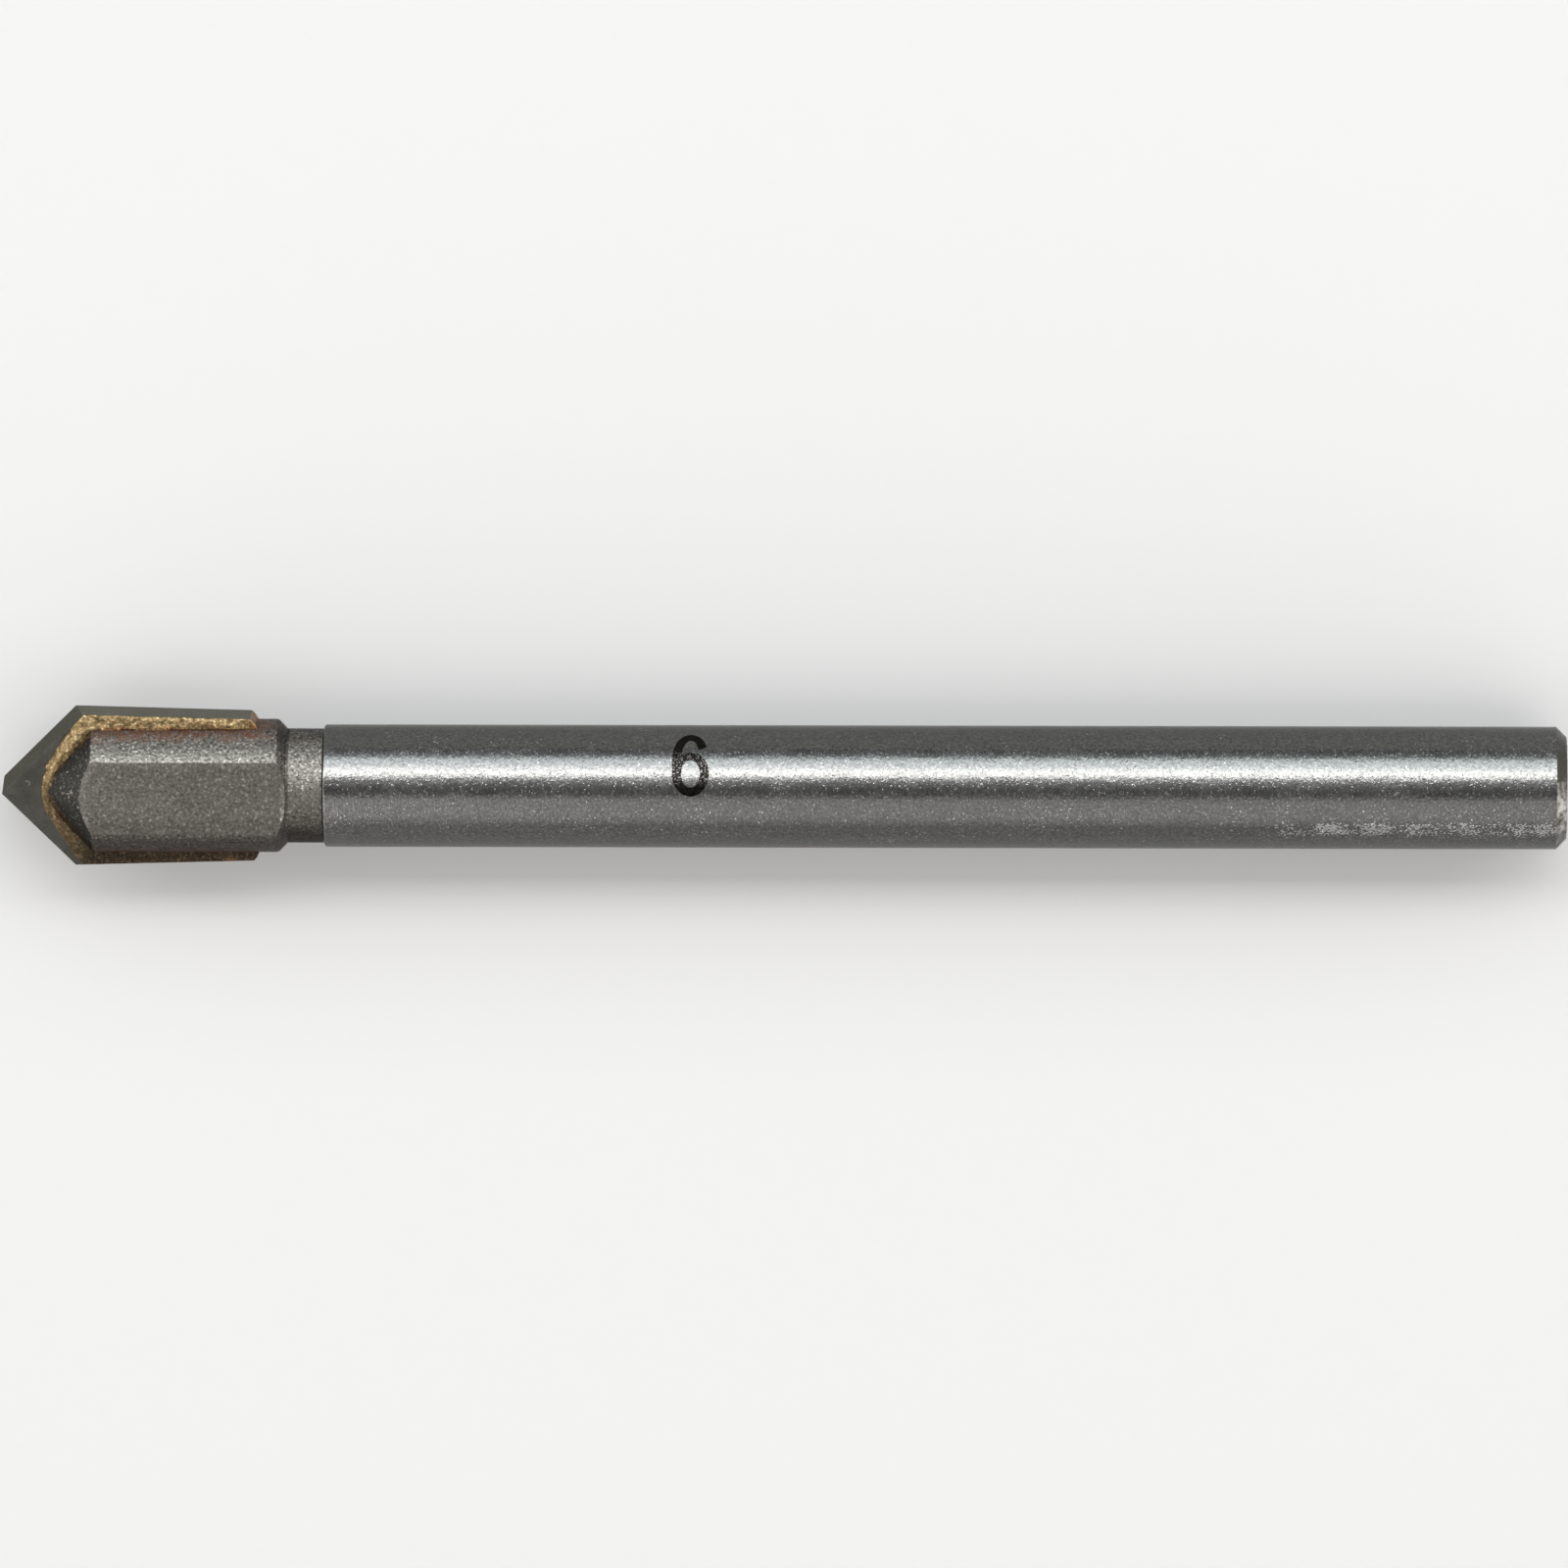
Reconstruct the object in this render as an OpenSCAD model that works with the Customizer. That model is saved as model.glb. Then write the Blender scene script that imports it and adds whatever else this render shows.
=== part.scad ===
// Glass and tile drill bit: a carbide spear plate brazed into the slotted head of a turned steel shank.
// Sizes are millimetres. The bit lies on its shank, with its axis along X, its point towards -X and the
// plate and the flats level. The origin is the centre of the shank's end face.

/* [Carbide plate] */
// Cutting diameter across the two lip corners
cut_d = 6; // [5.6:0.1:8]
// Thickness of the plate
plate_t = 1.5; // [1.1:0.05:1.9]
// Length of the plate from its point to its rear edge
plate_l = 9.65; // [8:0.05:10.2]
// Angle between the two lips
point_angle = 90; // [80:1:110]
// Relief of each lip facet behind its cutting edge, in degrees
lip_relief = 13; // [6:0.5:18]
// Back taper of each side of the plate, in degrees
back_taper = 1.5; // [0.5:0.1:2.5]

/* [Steel body] */
// Length from the carbide point to the shank's end face
overall_l = 60.5; // [45:0.5:90]
// Diameter of the shank
shank_d = 4.74; // [4.5:0.02:5]
// Chamfer on the shank's end
end_chamfer = 0.4; // [0.2:0.05:0.8]
// Length of the ramp from the neck up to the shank
shoulder_l = 0.19; // [0.1:0.01:0.5]
// Diameter of the neck behind the head
neck_d = 4.42; // [4.2:0.02:4.6]
// Length of the neck
neck_l = 1.4; // [0.8:0.05:3]

/* [Head] */
// Diameter of the head
head_d = 5.16; // [5.02:0.02:5.4]
// Length from the carbide point to the rear of the head
head_l = 11.05; // [10.9:0.05:13]
// Angle of the cone on the front of the head
nose_angle = 90; // [80:1:100]
// Distance from the carbide point back to the cone's apex
nose_setback = 0.93; // [0.8:0.01:1.3]
// Distance across the two milled flats
across_flats = 4.3; // [4:0.02:4.44]
// Land between the end of the flats and the neck
flat_land = 0.04; // [0.02:0.01:0.15]
// Angle of the chamfer on the rear of the head, from the axis
rear_chamfer = 46; // [35:1:60]
// Radius on the head's two outer edges
edge_round = 0.18; // [0.08:0.01:0.25]

/* [Braze] */
// Braze film on each side of the plate and behind it
braze_gap = 0.06; // [0.03:0.01:0.12]
// Height of the fillet up the steel from the plate's face
fillet_rise = 0.18; // [0.1:0.01:0.3]
// Extra half angle at which the fillet flares out from the cone
fillet_flare = 7; // [4:0.5:9]
// Bare strip left along the plate's side edges
fillet_edge = 0.05; // [0.02:0.01:0.12]
// Length of the braze ramp behind the plate
fillet_rear = 0.3; // [0.15:0.05:0.45]

/* [Hidden] */
$fn = 96;
shank_r = shank_d / 2;
neck_r = neck_d / 2;
head_r = head_d / 2;
flat_r = across_flats / 2;
lip_half = point_angle / 2;
nose_half = nose_angle / 2;
slot_w = plate_t + 2 * braze_gap;
neck_end = head_l + neck_l;
// Steps that round an edge, and that draw the fillet's nose
round_steps = 4;
nose_steps = 10;
// Reach of a cutting block past what it cuts, and how far the fillet's rim sinks into the steel
over = 5;
sink = 0.03;

// Heights of the fillet's foot on the plate and of its rim on the steel, and the foot's own cone
foot_q = plate_t / 2;
rim_q = foot_q + fillet_rise;
flare_half = nose_half + fillet_flare;

// Axial distance of the lip corner behind the point, on the cutting edge's own face
corner_l = cut_d / 2 / tan(lip_half) - plate_t / 2 * tan(lip_relief);
// Tilt of a lip facet that gives the relief along the axis
facet_tilt = atan(tan(lip_relief) * sin(lip_half));

// Half width of the tapered plate at a distance behind the point
function plate_half(a) = cut_d / 2 - (a - corner_l) * tan(back_taper);

// Axial distance behind the point of a cone, at a width p and a height q from the axis
function cone_at(p, q, half) = nose_setback + norm([p, q]) / tan(half);

// Half width of the head at a height q from the axis, sunk a little below its surface
function seat_half(q) = sqrt(pow(head_r, 2) - pow(q, 2)) - sink;

// Arc of a radius inside a convex corner, from one tangent point to the other
function rounded(from, corner, to, r) =
  let(
    u = (from - corner) / norm(from - corner),
    v = (to - corner) / norm(to - corner),
    half = acos(u * v) / 2,
    mid = (u + v) / norm(u + v),
    centre = corner + mid * r / sin(half),
    side = (u - v) / norm(u - v)
  )
  [
    for (i = [0:round_steps])
      let(turn = (90 - half) * (1 - 2 * i / round_steps))
      centre - mid * r * cos(turn) + side * r * sin(turn)
  ];

// Radius and axial distance of each corner of the turned steel, from the cone's apex to the end face
nose_point = [0, nose_setback];
front_edge = [head_r, cone_at(head_r, 0, nose_half)];
rear_edge = [head_r, head_l - (head_r - neck_r) / tan(rear_chamfer)];
neck_front = [neck_r, head_l];
turned_profile = concat(
  [nose_point],
  rounded(nose_point, front_edge, rear_edge, edge_round),
  rounded(front_edge, rear_edge, neck_front, edge_round),
  [
    neck_front,
    [neck_r, neck_end],
    [shank_r, neck_end + shoulder_l],
    [shank_r, overall_l - end_chamfer],
    [shank_r - end_chamfer, overall_l],
    [0, overall_l]
  ]
);

// Shapes below have the point at x = 0. This puts the shank's end face there instead.
module from_shank_end() {
  translate([-overall_l, 0, 0])
    children();
}

module turned_blank() {
  rotate([0, 90, 0])
    rotate_extrude()
      polygon(turned_profile);
}

module flat_cut() {
  translate([-over, -head_r - over, flat_r])
    cube([head_l - flat_land + over, head_d + 2 * over, over]);
}

module plate_slot() {
  translate([-over, -head_r - over, -slot_w / 2])
    cube([plate_l + braze_gap + over, head_d + 2 * over, slot_w]);
}

module steel_body() {
  difference() {
    turned_blank();
    flat_cut();
    mirror([0, 0, 1]) flat_cut();
    plate_slot();
  }
}

// Everything in front of one lip's relief facet, whose cutting edge lies on the plate's lower face
module lip_cut() {
  translate([-plate_t / 2 * tan(lip_relief), 0, -plate_t / 2])
    rotate([0, facet_tilt, lip_half - 90])
      translate([-cut_d, -2 * cut_d, -cut_d])
        cube([cut_d, 4 * cut_d, 2 * cut_d]);
}

module spear_plate() {
  difference() {
    linear_extrude(plate_t, center = true)
      polygon([
        [-plate_t, plate_half(-plate_t)],
        [plate_l, plate_half(plate_l)],
        [plate_l, -plate_half(plate_l)],
        [-plate_t, -plate_half(-plate_t)]
      ]);
    lip_cut();
    rotate([180, 0, 0]) lip_cut();
  }
}

// One level of the fillet, up to a height q: a nose that follows a cone, straight sides and a ramp at the rear
module fillet_level(q, half, front_p, rear_p, setback) {
  nose = [
    for (i = [-nose_steps:nose_steps])
      let(p = front_p * i / nose_steps)
      [cone_at(p, q, half) + setback, p]
  ];
  ramp_l = plate_l + fillet_rear;
  linear_extrude(2 * q, center = true)
    polygon(concat(
      nose,
      [[plate_l, rear_p], [ramp_l, seat_half(q)], [ramp_l, -seat_half(q)], [plate_l, -rear_p]]
    ));
}

// The fillet spreads over the plate's exposed faces and climbs a little way up the steel
module fillet_solid() {
  hull() {
    fillet_level(
      q = foot_q,
      half = flare_half,
      front_p = plate_half(cone_at(cut_d / 2, foot_q, flare_half)) - fillet_edge,
      rear_p = plate_half(plate_l) - fillet_edge,
      setback = 0
    );
    fillet_level(
      q = rim_q,
      half = nose_half,
      front_p = seat_half(rim_q),
      rear_p = seat_half(rim_q),
      setback = sink
    );
  }
}

module steel_shank() {
  color("silver")
    from_shank_end()
      steel_body();
}

module carbide_tip() {
  color("dimgray")
    from_shank_end()
      spear_plate();
}

// The film that fills the slot round the plate, and the fillet outside it
module braze_joint() {
  color("darkgoldenrod")
    from_shank_end()
      difference() {
        fillet_solid();
        steel_body();
        spear_plate();
      }
}

steel_shank();
carbide_tip();
braze_joint();
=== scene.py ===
import math

import bmesh
import bpy
from mathutils import Matrix, Vector, noise


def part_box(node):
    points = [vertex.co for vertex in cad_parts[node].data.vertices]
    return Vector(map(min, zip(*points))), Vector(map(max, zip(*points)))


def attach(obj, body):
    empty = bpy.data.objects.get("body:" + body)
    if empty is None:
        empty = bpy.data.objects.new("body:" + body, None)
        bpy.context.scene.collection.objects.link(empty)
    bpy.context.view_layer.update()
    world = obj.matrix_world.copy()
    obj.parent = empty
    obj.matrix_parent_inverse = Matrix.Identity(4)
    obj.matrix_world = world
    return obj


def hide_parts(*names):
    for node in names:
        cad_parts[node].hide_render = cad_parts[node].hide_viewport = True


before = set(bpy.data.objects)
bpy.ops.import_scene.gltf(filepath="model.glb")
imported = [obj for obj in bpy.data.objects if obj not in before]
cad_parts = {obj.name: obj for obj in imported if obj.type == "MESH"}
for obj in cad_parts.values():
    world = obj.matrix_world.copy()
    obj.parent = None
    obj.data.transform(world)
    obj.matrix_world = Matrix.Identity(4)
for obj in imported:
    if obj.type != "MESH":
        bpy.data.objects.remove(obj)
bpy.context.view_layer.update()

mm = 0.001
samePoint = 1e-7  # vertices closer than this, in metres, are merged
tipLow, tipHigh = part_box("carbide_tip")
pointX = tipLow.x  # the carbide point, x rises from here to the shank's end at 0
pointMm = pointX / mm

scene = bpy.context.scene
scene.view_settings.view_transform = "Standard"


# Mesh helpers
def behind(howFar):
    # x of a place so many mm behind the carbide point
    return pointX + howFar * mm


def tangent(degrees):
    return math.tan(math.radians(degrees))


def meshFromBm(bm, name):
    mesh = bpy.data.meshes.new(name)
    bm.to_mesh(mesh)
    bm.free()
    return mesh


def newPiece(name, mesh):
    piece = bpy.data.objects.new(name, mesh)
    scene.collection.objects.link(piece)
    return piece


def dropPiece(piece):
    mesh = piece.data
    bpy.data.objects.remove(piece)
    bpy.data.meshes.remove(mesh)


def bakeModifiers(piece):
    # the evaluated mesh takes the place of the mesh and its modifiers
    bpy.context.view_layer.update()
    graph = bpy.context.evaluated_depsgraph_get()
    mesh = bpy.data.meshes.new_from_object(piece.evaluated_get(graph))
    old = piece.data
    piece.modifiers.clear()
    piece.data = mesh
    bpy.data.meshes.remove(old)


def combine(piece, others, operation, solver="EXACT"):
    for other in others:
        step = piece.modifiers.new("combine", "BOOLEAN")
        step.operation = operation
        step.solver = solver
        step.object = other
    bakeModifiers(piece)


def boxCutter(low, high):
    bm = bmesh.new()
    bmesh.ops.create_cube(bm, size=1)
    bmesh.ops.scale(bm, vec=Vector(high) - Vector(low), verts=bm.verts)
    bmesh.ops.translate(bm, vec=(Vector(high) + Vector(low)) / 2, verts=bm.verts)
    return newPiece("cutter", meshFromBm(bm, "cutter"))


def allOf(bm):
    return list(bm.verts) + list(bm.edges) + list(bm.faces)


def raiseFaces(bm, faces, height):
    # flat faces drawn up along Z into a solid
    raised = bmesh.ops.extrude_face_region(bm, geom=faces)
    grown = [v for v in raised["geom"] if isinstance(v, bmesh.types.BMVert)]
    bmesh.ops.translate(bm, vec=(0, 0, height), verts=grown)


def closeUp(bm):
    bmesh.ops.remove_doubles(bm, verts=bm.verts, dist=samePoint)
    bmesh.ops.recalc_face_normals(bm, faces=bm.faces)


def smoothShade(piece, degrees):
    piece.data.shade_smooth()
    piece.data.set_sharp_from_angle(angle=math.radians(degrees))


# Node helpers for the procedural finishes
def setSockets(tree, node, sockets):
    for key, value in sockets.items():
        if isinstance(value, bpy.types.NodeSocket):
            tree.links.new(value, node.inputs[key])
        else:
            node.inputs[key].default_value = value


def addNode(tree, kind, sockets=None, **settings):
    made = tree.nodes.new(kind)
    for name, value in settings.items():
        setattr(made, name, value)
    setSockets(tree, made, sockets or {})
    return made


def scaled(tree, vector, factor):
    sockets = {0: vector, "Scale": factor}
    return addNode(tree, "ShaderNodeVectorMath", sockets, operation="SCALE").outputs[0]


def startFinish(name):
    # a new material, and the place on the piece in mm
    finish = bpy.data.materials.new(name)
    finish.use_nodes = True
    tree = finish.node_tree
    coords = addNode(tree, "ShaderNodeTexCoord").outputs["Object"]
    return finish, tree, tree.nodes["Principled BSDF"], scaled(tree, coords, 1 / mm)


def axesOf(tree, vector):
    return addNode(tree, "ShaderNodeSeparateXYZ", {"Vector": vector}).outputs


def lengthOf(tree, parts):
    joined = addNode(tree, "ShaderNodeCombineXYZ", parts).outputs[0]
    return addNode(tree, "ShaderNodeVectorMath", {0: joined}, operation="LENGTH").outputs["Value"]


def grain(tree, place, perMm, detail, rough, stretch=None):
    # noise with so many features a mm, stretched if asked
    if stretch:
        sockets = {0: place, 1: stretch}
        place = addNode(tree, "ShaderNodeVectorMath", sockets, operation="MULTIPLY").outputs[0]
    sockets = {"Vector": place, "Scale": perMm, "Detail": detail, "Roughness": rough}
    return addNode(tree, "ShaderNodeTexNoise", sockets).outputs["Fac"]


def ramp(tree, value, stops):
    made = addNode(tree, "ShaderNodeValToRGB", {"Fac": value})
    places = made.color_ramp.elements
    while len(places) < len(stops):
        places.new(0.5)
    for place, (at, colour) in zip(places, stops):
        place.position = at
        place.color = (*colour, 1)
    return made.outputs["Color"]


def spread(tree, value, low, high, toLow=0.0, toHigh=1.0):
    # a soft step from toLow where the value is low to toHigh where it is high
    sockets = {"Value": value, "From Min": low, "From Max": high, "To Min": toLow, "To Max": toHigh}
    made = addNode(tree, "ShaderNodeMapRange", sockets, interpolation_type="SMOOTHSTEP")
    return made.outputs["Result"]


def calc(tree, kind, first, *others):
    # the first value worked on by itself, or with each of the others in turn
    if not others:
        return addNode(tree, "ShaderNodeMath", {0: first}, operation=kind).outputs[0]
    for other in others:
        first = addNode(tree, "ShaderNodeMath", {0: first, 1: other}, operation=kind).outputs[0]
    return first


def times(tree, first, *others):
    return calc(tree, "MULTIPLY", first, *others)


def wobble(tree, value, depth):
    # noise about 0.5 turned into a push to either side of 0
    return times(tree, calc(tree, "SUBTRACT", value, 0.5), depth)


def blend(tree, factor, first, second):
    pair = [c if isinstance(c, bpy.types.NodeSocket) else (*c, 1) for c in (first, second)]
    sockets = {"Factor": factor, 6: pair[0], 7: pair[1]}  # 6 and 7 are the node's two colours
    return addNode(tree, "ShaderNodeMix", sockets, data_type="RGBA").outputs[2]


def paintedSlantShade(tree, near, far, low):
    # painted shade: base colour darkened where the steel is seen at a slant, so it mirrors less of the
    # pale floor, as if darker surroundings showed in it
    slant = addNode(tree, "ShaderNodeLayerWeight", {"Blend": 0.5}).outputs["Facing"]
    return spread(tree, slant, near, far, 1.0, low)


def bump(tree, height, depthMm):
    sockets = {"Height": height, "Distance": depthMm * mm, "Strength": 1.0}
    return addNode(tree, "ShaderNodeBump", sockets).outputs["Normal"]


# Steel shank, neck and head: one turned piece, flats and slot cut afterwards, sizes in mm
steelBody = {
    "headRadius": 2.58,
    "neckRadius": 2.21,
    "shankRadius": 2.37,
    "noseSetback": 0.93,  # this and the five below are behind the carbide point
    "slotEnd": 9.71,
    "flatEnd": 11.01,
    "headEnd": 11.05,
    "neckEnd": 12.45,
    "shoulderEnd": 12.52,
    "groundLead": 0.02,  # the ground finish starts this far behind the neck
    "rearChamferRun": 0.357,
    "endChamfer": 0.4,
    "headEdgeRound": 0.08,
    "shoulderRound": 0.05,
    "roundSteps": 5,
    "turns": 192,
    "flatHeight": 2.15,
    "flatRunOut": 0.22,  # length in which a flat runs out up to the neck
    "flatLead": 0.176,  # the run-out starts this far before the flat's end
    "slotHalf": 0.81,
    "cutReach": 6.0,  # the cutters go this far past the point and the axis
    "edgeBevel": 0.045,
    "bevelSteps": 3,
    "bevelAngle": 28,
    "smoothAngle": 40,
    "endFacing": 0.9,  # faces turned further to +X than this are the end face
}


def turnedBlank(s):
    length = -pointMm
    stations = [
        (s["noseSetback"], 0),
        (s["noseSetback"] + s["headRadius"], s["headRadius"]),
        (s["headEnd"] - s["rearChamferRun"], s["headRadius"]),
        (s["headEnd"], s["neckRadius"]),
        (s["neckEnd"], s["neckRadius"]),
        (s["shoulderEnd"], s["shankRadius"]),
        (length - s["endChamfer"], s["shankRadius"]),
        (length, s["shankRadius"] - s["endChamfer"]),
        (length, 0),
    ]
    bm = bmesh.new()
    points = [bm.verts.new((behind(x), 0, r * mm)) for x, r in stations]
    for a, b in zip(points, points[1:]):
        bm.edges.new((a, b))
    for rounded, run in ((points[1:3], s["headEdgeRound"]), (points[5:6], s["shoulderRound"])):
        bmesh.ops.bevel(
            bm, geom=rounded, offset=run * mm, offset_type="OFFSET",
            segments=s["roundSteps"], profile=0.5, affect="VERTICES", material=-1,
        )
    bmesh.ops.spin(
        bm, geom=allOf(bm), cent=(0, 0, 0), axis=(1, 0, 0),
        angle=math.tau, steps=s["turns"], use_merge=True,
    )
    closeUp(bm)
    return bm


def headCutters(s):
    # two for the flats, leaning back at their rear so that each flat runs out, and one for the slot
    reach = s["cutReach"] * mm
    front = pointX - reach
    flatX = behind(s["flatEnd"])
    flatZ = s["flatHeight"] * mm
    slotZ = s["slotHalf"] * mm
    flats = [
        boxCutter((front, -reach, flatZ), (flatX, reach, reach)),
        boxCutter((front, -reach, -reach), (flatX, reach, -flatZ)),
    ]
    slope = s["flatRunOut"] / (s["neckRadius"] - s["flatHeight"])
    for cutter in flats:
        for v in cutter.data.vertices:
            if v.co.x > pointX:
                outer = abs(v.co.z) > (flatZ + reach) / 2
                v.co.x += slope * (reach - flatZ) if outer else -s["flatLead"] * mm
    slot = boxCutter((front, -reach, -slotZ), (behind(s["slotEnd"]), reach, slotZ))
    return [*flats, slot]


def makeSteel(s):
    piece = newPiece("steelBody", meshFromBm(turnedBlank(s), "steelBody"))
    cutters = headCutters(s)
    combine(piece, cutters, "DIFFERENCE")
    for cutter in cutters:
        dropPiece(cutter)
    piece.data.materials.append(blastedSteel(blastedFinish, s))
    piece.data.materials.append(groundSteel(groundFinish))
    piece.data.materials.append(turnedChamfer(chamferFinish))
    piece.data.materials.append(facedEnd(endFaceFinish))
    groundFrom = behind(s["neckEnd"] + s["groundLead"])
    endFrom = -s["endChamfer"] * mm
    for face in piece.data.polygons:
        at = face.center.x
        ending = 3 if face.normal.x > s["endFacing"] else 2
        face.material_index = ending if at > endFrom else 1 if at > groundFrom else 0
    bevel = piece.modifiers.new("edges", "BEVEL")
    bevel.width = s["edgeBevel"] * mm
    bevel.segments = s["bevelSteps"]
    bevel.limit_method = "ANGLE"
    bevel.angle_limit = math.radians(s["bevelAngle"])
    bevel.harden_normals = True
    smoothShade(piece, s["smoothAngle"])
    return piece


# In a finish, a grain is given by how many a mm, detail, roughness and, if stretched, its stretch
# Colours aside, the other rows of numbers are soft steps, in mm where they follow a place
groundFinish = {
    "rings": (11, 2, 0.6, (1, 0.22, 0.22)),
    "fine": (8, 2, 0.6),
    "cloud": (0.8, 3, 0.6),
    "dots": (13, 1, 0.4),
    "frostGrain": (12, 1, 0.5),
    "sparks": (12, 1, 0.5, (1, 0.6, 0.6)),
    "tones": [(0.3, (0.167, 0.167, 0.165)), (0.7, (0.271, 0.269, 0.263))],
    "speck": (0.75, 0.75, 0.75),
    "speckStep": (0.85, 0.96),
    "cloudSpecks": 0.3,
    "lowerSide": (0.6, -0.9, 0.0, 0.035),  # more specks low on the shank
    "scuffAlong": (-12.3, -9.6),
    "scuffTop": (-0.75, -1.0),
    "scuffBottom": (-1.6, -1.3),
    "scuffPatches": (0.3, 0.58, 0.09, 0.23),
    "frost": (0.3, 0.7, 0.9, 1.1),
    "slant": (0.11, 0.26, 0.46),  # painted shade: where the base colour starts and ends to darken at a slant, and what is left of it
    "slantTint": (0.75, 0.75, 0.73, 1),
    "rough": (0.3, 0.7, 0.19, 0.25),
    "sparkStep": (0.58, 0.8),
    "fineHeight": 0.7,
    "depthMm": 0.01,
}


def groundSteel(g):
    # shank ground round and round: short ring marks, grain, pale specks and one frosty scuff
    finish, tree, shader, place = startFinish("groundSteel")
    axes = axesOf(tree, place)
    rings = grain(tree, place, *g["rings"])
    fine = grain(tree, place, *g["fine"])
    cloud = grain(tree, place, *g["cloud"])
    scuff = times(
        tree,
        spread(tree, axes["X"], *g["scuffAlong"]),
        spread(tree, axes["Y"], *g["scuffTop"]),
        spread(tree, axes["Y"], *g["scuffBottom"]),
        spread(tree, cloud, *g["scuffPatches"]),
    )
    lower = spread(tree, axes["Y"], *g["lowerSide"])
    patchy = times(tree, cloud, g["cloudSpecks"])
    dots = calc(tree, "ADD", grain(tree, place, *g["dots"]), lower, scuff, patchy)
    specks = spread(tree, dots, *g["speckStep"])
    speckled = blend(tree, specks, ramp(tree, fine, g["tones"]), g["speck"])
    frost = spread(tree, grain(tree, place, *g["frostGrain"]), *g["frost"])
    # painted shade: besides the frost, the base colour darkens where the shank is seen at a slant
    frostAndSlantShade = times(tree, frost, paintedSlantShade(tree, *g["slant"]))
    sparkle = spread(tree, grain(tree, place, *g["sparks"]), *g["sparkStep"])
    height = calc(tree, "ADD", rings, times(tree, calc(tree, "ADD", fine, sparkle), g["fineHeight"]))
    setSockets(tree, shader, {
        "Base Color": scaled(tree, speckled, frostAndSlantShade),
        "Metallic": 1,
        "Specular Tint": g["slantTint"],
        "Roughness": spread(tree, cloud, *g["rough"]),
        "Normal": bump(tree, height, g["depthMm"]),
    })
    return finish


chamferFinish = {
    "torn": (2.2, 3, 0.6),
    "fine": (10, 2, 0.6),
    "tones": [(0.4, (0.06, 0.056, 0.05)), (0.54, (0.19, 0.182, 0.174)), (0.68, (0.42, 0.405, 0.392))],
    "upperShadeAndHighlight": (1.0, 0.1, -0.2, 0.08),  # painted shade at the top, painted highlight in the middle
    # painted shade towards the bottom
    "lowerSide": (-0.4, -1.4, 0.0, -0.14),
    "speckle": 0.3,
    "rough": (0.3, 0.7, 0.45, 0.3),
    "depthMm": 0.02,
}


def turnedChamfer(t):
    # end chamfer: dark, with torn bright patches, painted shade at the top and bottom and a painted
    # highlight across the middle
    finish, tree, shader, place = startFinish("turnedChamfer")
    axes = axesOf(tree, place)
    torn = grain(tree, place, *t["torn"])
    fine = grain(tree, place, *t["fine"])
    upper = spread(tree, axes["Y"], *t["upperShadeAndHighlight"])
    lower = spread(tree, axes["Y"], *t["lowerSide"])
    tornAndPaintedLight = calc(tree, "ADD", torn, upper, lower, wobble(tree, fine, t["speckle"]))
    setSockets(tree, shader, {
        "Base Color": ramp(tree, tornAndPaintedLight, t["tones"]),
        "Metallic": 1,
        "Roughness": spread(tree, torn, *t["rough"]),
        "Normal": bump(tree, calc(tree, "ADD", torn, fine), t["depthMm"]),
    })
    return finish


endFaceFinish = {
    "rings": (9, 3, 0.7),
    "fine": (9, 2, 0.6),
    "cloud": (1.2, 3, 0.6),
    "ringShare": 0.5,
    "tones": [(0.36, (0.15, 0.148, 0.143)), (0.64, (0.3, 0.297, 0.29))],
    "rough": (0.3, 0.7, 0.28, 0.42),
    "fineHeight": 0.3,
    "depthMm": 0.02,
}


def facedEnd(e):
    # end face: fine turning rings round the axis
    finish, tree, shader, place = startFinish("facedEnd")
    axes = axesOf(tree, place)
    radius = lengthOf(tree, {"Y": axes["Y"], "Z": axes["Z"]})
    ringPlace = addNode(tree, "ShaderNodeCombineXYZ", {"X": radius}).outputs[0]
    rings = grain(tree, ringPlace, *e["rings"])
    fine = grain(tree, place, *e["fine"])
    cloud = grain(tree, place, *e["cloud"])
    mixed = times(tree, calc(tree, "ADD", rings, cloud), e["ringShare"])
    height = calc(tree, "ADD", rings, times(tree, fine, e["fineHeight"]))
    setSockets(tree, shader, {
        "Base Color": ramp(tree, mixed, e["tones"]),
        "Metallic": 1,
        "Roughness": spread(tree, cloud, *e["rough"]),
        "Normal": bump(tree, height, e["depthMm"]),
    })
    return finish


# Braze colours, on the bead and smeared over the nose
brazeColours = {
    "goldGrain": (7, 2, 0.65),
    "burntGrain": (11, 2, 0.6),
    "gold": [
        (0.3, (0.082, 0.051, 0.023)), (0.45, (0.158, 0.108, 0.051)),
        (0.6, (0.235, 0.171, 0.09)), (0.74, (0.56, 0.44, 0.265)),
    ],
    # darker brown towards -Y: partly burnt braze, partly painted shade
    "burntAndShaded": [(0.36, (0.016, 0.013, 0.01)), (0.58, (0.043, 0.034, 0.024)), (0.76, (0.2, 0.125, 0.058))],
    "burntShadedSide": (0.7, -1.3),
    "burntAlong": (pointMm + 2.4, pointMm + 3.6, 0.6, 0.95),
}


def brazeTone(tree, place, axes, c):
    # pale gold grains, darker brown towards the -Y side: partly burnt, partly painted shade
    gold = ramp(tree, grain(tree, place, *c["goldGrain"]), c["gold"])
    burntAndShaded = ramp(tree, grain(tree, place, *c["burntGrain"]), c["burntAndShaded"])
    burntShadedSide = spread(tree, axes["Y"], *c["burntShadedSide"])
    burntAlong = spread(tree, axes["X"], *c["burntAlong"])
    return blend(tree, times(tree, burntShadedSide, burntAlong), gold, burntAndShaded)


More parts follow.
